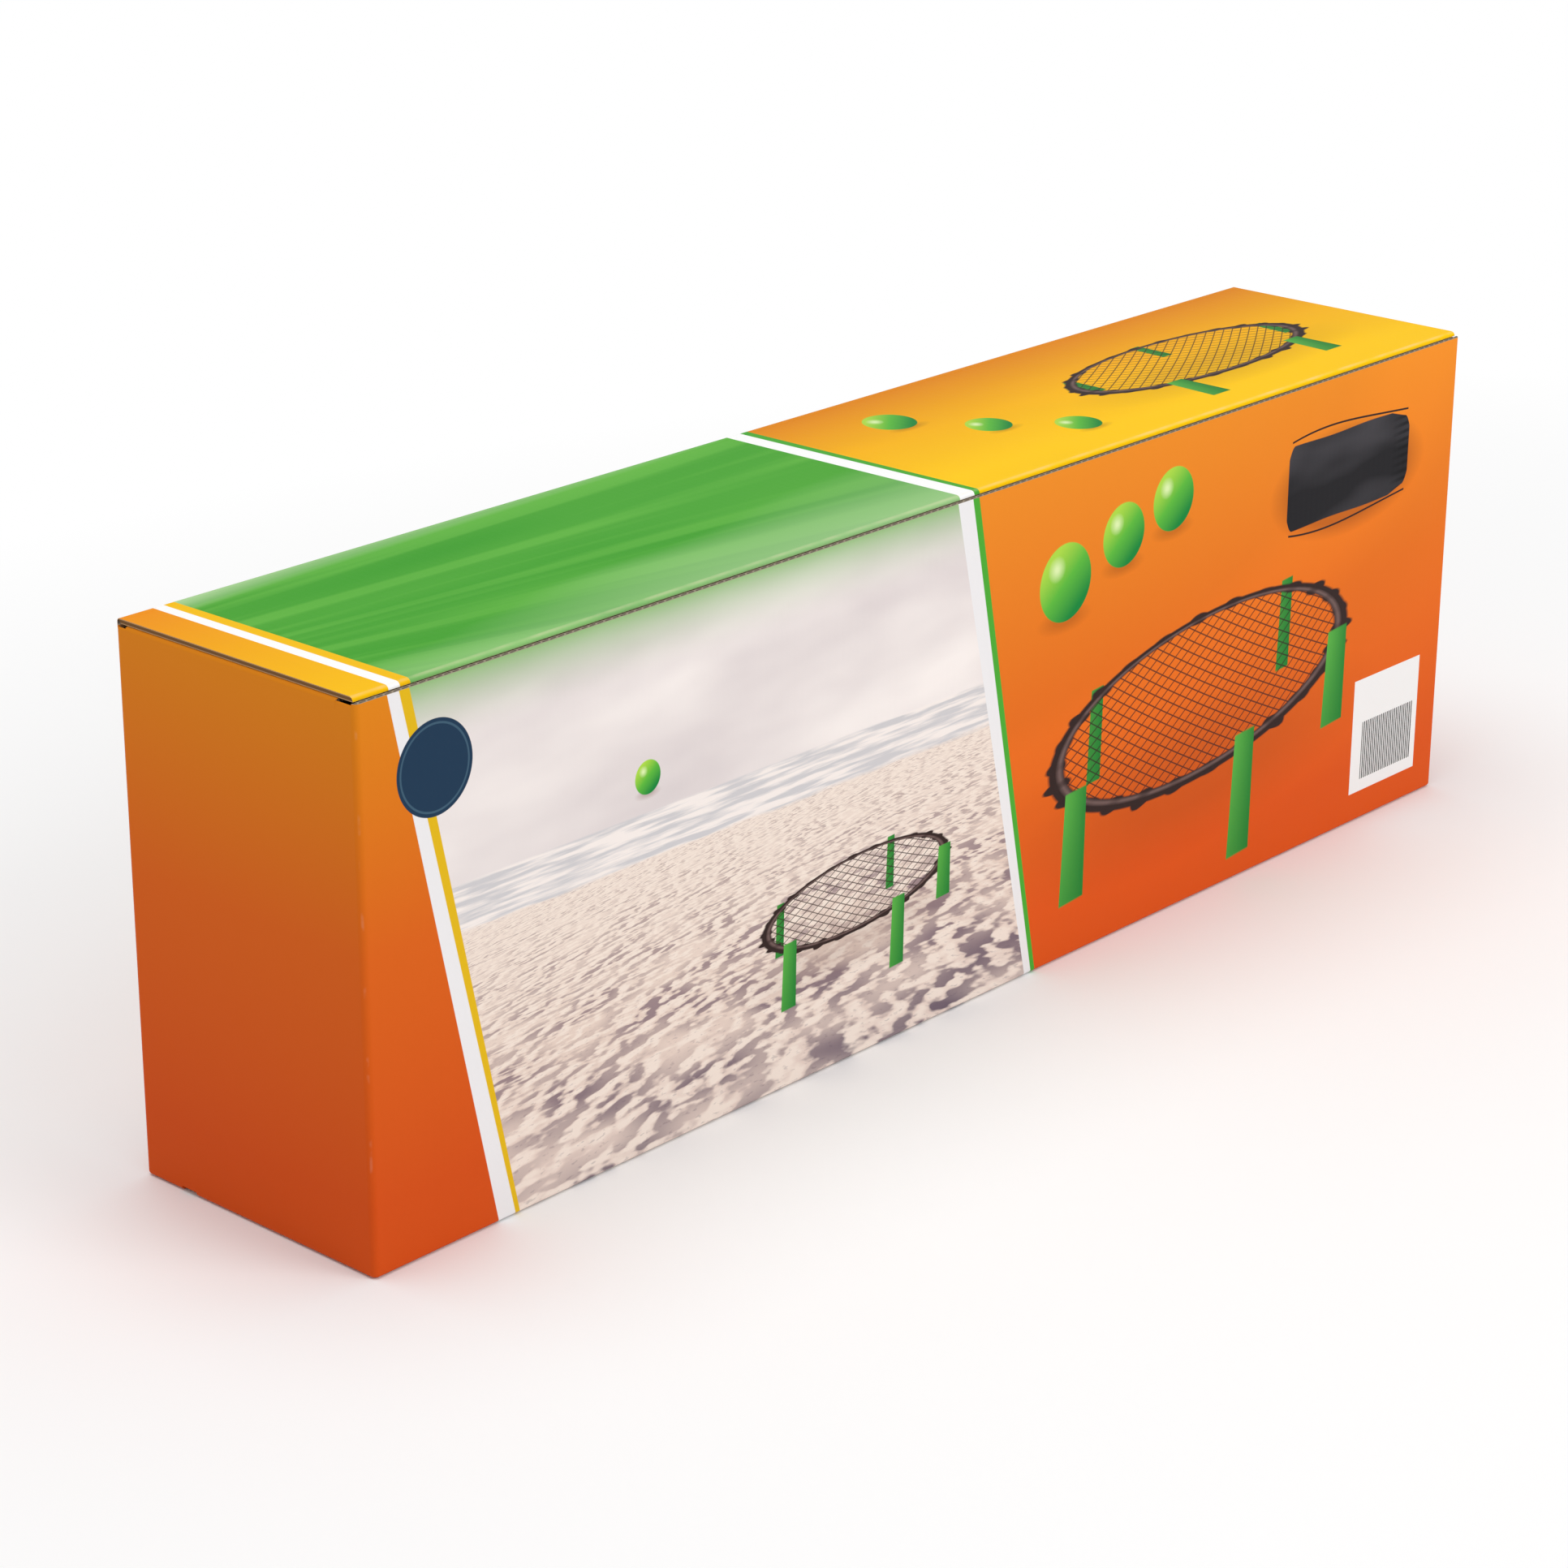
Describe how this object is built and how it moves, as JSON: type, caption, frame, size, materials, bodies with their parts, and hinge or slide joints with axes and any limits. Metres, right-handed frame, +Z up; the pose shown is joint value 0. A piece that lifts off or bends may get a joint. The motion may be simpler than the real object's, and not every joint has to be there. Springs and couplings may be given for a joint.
{
  "type": "boxed roundnet set",
  "caption": "Long printed carton with a hinged tuck lid and locked bottom, packed with a roundnet set: bent rim tubes, moulded legs, net, soft balls, hand pump, bag and leaflet",
  "frame": {"origin": "middle of the carton's underside, on the floor", "axes": "X along the carton with the picture's left end at -X, front panel facing -Y, Z up"},
  "size_m": [0.58, 0.109, 0.189],
  "materials": {
    "printed_board": "semi-gloss print on fluted board, plain brown inside",
    "plain_board": "unprinted fluted board",
    "rim_plastic": "glossy brown-black",
    "leg_plastic": "moulded green, satin",
    "training_ball": "glossy green",
    "match_ball": "glossy green",
    "bag_cloth": "woven charcoal",
    "net_cord": "black braided cord",
    "leaflet_paper": "uncoated white",
    "pump_plastic": "black",
    "pump_trim": "green",
    "pump_steel": "bright",
    "pump_rubber": "black"
  },
  "bodies": {
    "carton": {"carton_sleeve": "printed_board", "bottom_flap_front": "printed_board", "bottom_flap_back": "plain_board", "bottom_flap_left": "plain_board", "bottom_flap_right": "plain_board", "ball_training": "training_ball", "ball_match_1": "match_ball", "ball_match_2": "match_ball", "carry_bag": "bag_cloth", "net_bundle": "net_cord", "instruction_leaflet": "leaflet_paper", "pump_barrel": "pump_plastic", "pump_cap": "pump_trim", "ball_needle": "pump_steel", "rim_tube_1": "rim_plastic", "rim_tube_2": "rim_plastic", "rim_tube_3": "rim_plastic", "rim_tube_4": "rim_plastic", "rim_tube_5": "rim_plastic", "leg_1": "leg_plastic", "leg_2": "leg_plastic", "leg_3": "leg_plastic", "leg_4": "leg_plastic", "leg_5": "leg_plastic"},
    "lid": {"lid_panel": "printed_board"},
    "tuck": {"tuck_flap": "printed_board"},
    "dust_left": {"dust_flap_left": "plain_board"},
    "dust_right": {"dust_flap_right": "plain_board"},
    "plunger": {"pump_rod": "pump_steel", "pump_piston": "pump_rubber", "pump_handle": "pump_trim"}
  },
  "joints": [
    {"name": "lid_hinge", "type": "hinge", "parent": "carton", "child": "lid", "pos_m": [0, 0.0545, 0.189], "axis": [-1, 0, 0], "range_deg": [0, 180]},
    {"name": "tuck_hinge", "type": "hinge", "parent": "lid", "child": "tuck", "pos_m": [0, -0.051, 0.1874], "axis": [1, 0, 0], "range_deg": [0, 63]},
    {"name": "dust_left_hinge", "type": "hinge", "parent": "carton", "child": "dust_left", "pos_m": [-0.29, 0, 0.1872], "axis": [0, -1, 0], "range_deg": [0, 63]},
    {"name": "dust_right_hinge", "type": "hinge", "parent": "carton", "child": "dust_right", "pos_m": [0.29, 0, 0.1872], "axis": [0, 1, 0], "range_deg": [0, 63]},
    {"name": "pump_slide", "type": "slide", "parent": "carton", "child": "plunger", "axis": [1, 0, 0], "range_m": [0, 0.11]}
  ],
  "couplings": [
    {"joint": "tuck_hinge", "follows": "lid_hinge", "ratio": 0.35},
    {"joint": "dust_left_hinge", "follows": "lid_hinge", "ratio": 0.35},
    {"joint": "dust_right_hinge", "follows": "lid_hinge", "ratio": 0.35}
  ]
}
